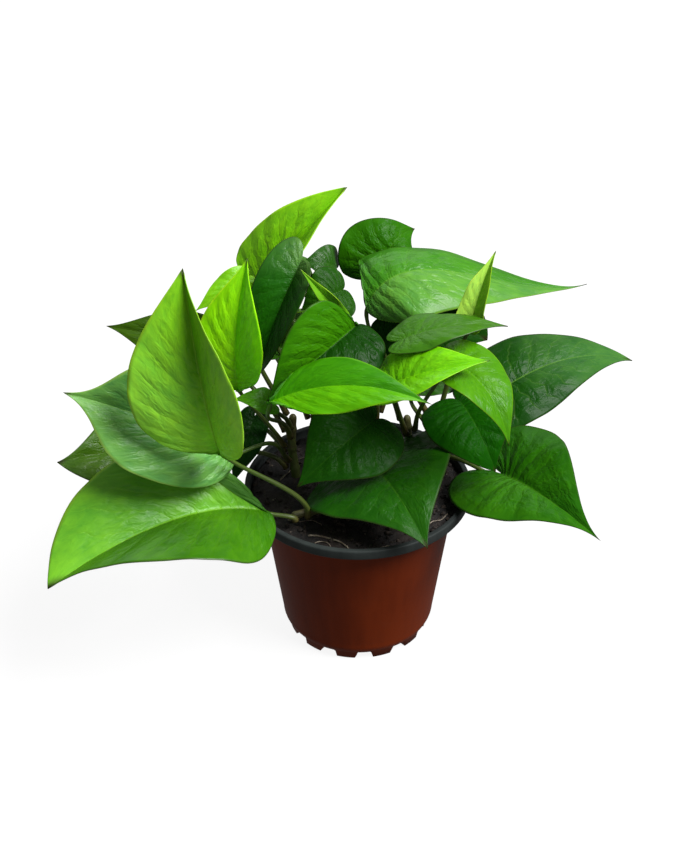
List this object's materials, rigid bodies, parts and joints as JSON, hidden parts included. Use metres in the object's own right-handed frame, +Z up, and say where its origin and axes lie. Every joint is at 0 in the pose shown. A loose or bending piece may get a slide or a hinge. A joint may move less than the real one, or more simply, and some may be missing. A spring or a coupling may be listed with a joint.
{
  "type": "potted pothos plant",
  "caption": "Leafy vine houseplant with heart-shaped pointed leaves on long petioles, in a round tapered plastic nursery pot filled with soil.",
  "frame": {"origin": "centre of the pot's base at the level of the surface that its feet stand on", "axes": "+Z up, +X to the right and +Y away from the viewer as in the picture"},
  "size_m": [0.3342, 0.2071, 0.268],
  "materials": {
    "pot": "satin",
    "soil": "matte",
    "stem": "satin",
    "leaf_young": "satin",
    "leaf_mature": "satin",
    "leaf_shade": "satin"
  },
  "bodies": {
    "root": {"pot": "pot", "soil": "soil", "stem_left": "stem", "stem_front": "stem", "stem_middle": "stem", "stem_right": "stem", "stem_far_right": "stem", "stem_back": "stem", "stem_back_left": "stem", "leaf_01": "leaf_mature", "leaf_02": "leaf_shade", "leaf_03": "leaf_young", "leaf_04": "leaf_mature", "leaf_05": "leaf_mature", "leaf_06": "leaf_young", "leaf_07": "leaf_mature", "leaf_08": "leaf_young", "leaf_09": "leaf_shade", "leaf_10": "leaf_shade", "leaf_11": "leaf_shade", "leaf_12": "leaf_mature", "leaf_13": "leaf_mature", "leaf_14": "leaf_shade", "leaf_15": "leaf_mature", "leaf_16": "leaf_mature", "leaf_17": "leaf_young", "leaf_18": "leaf_young", "leaf_19": "leaf_young", "leaf_20": "leaf_mature", "leaf_21": "leaf_mature", "leaf_22": "leaf_shade", "leaf_23": "leaf_mature", "leaf_24": "leaf_shade", "leaf_25": "leaf_shade", "leaf_26": "leaf_shade", "leaf_27": "leaf_shade", "leaf_28": "leaf_mature", "leaf_29": "leaf_mature", "leaf_30": "leaf_mature", "leaf_31": "leaf_young", "leaf_32": "leaf_mature", "leaf_33": "leaf_shade", "leaf_34": "leaf_mature"}
  },
  "joints": []
}
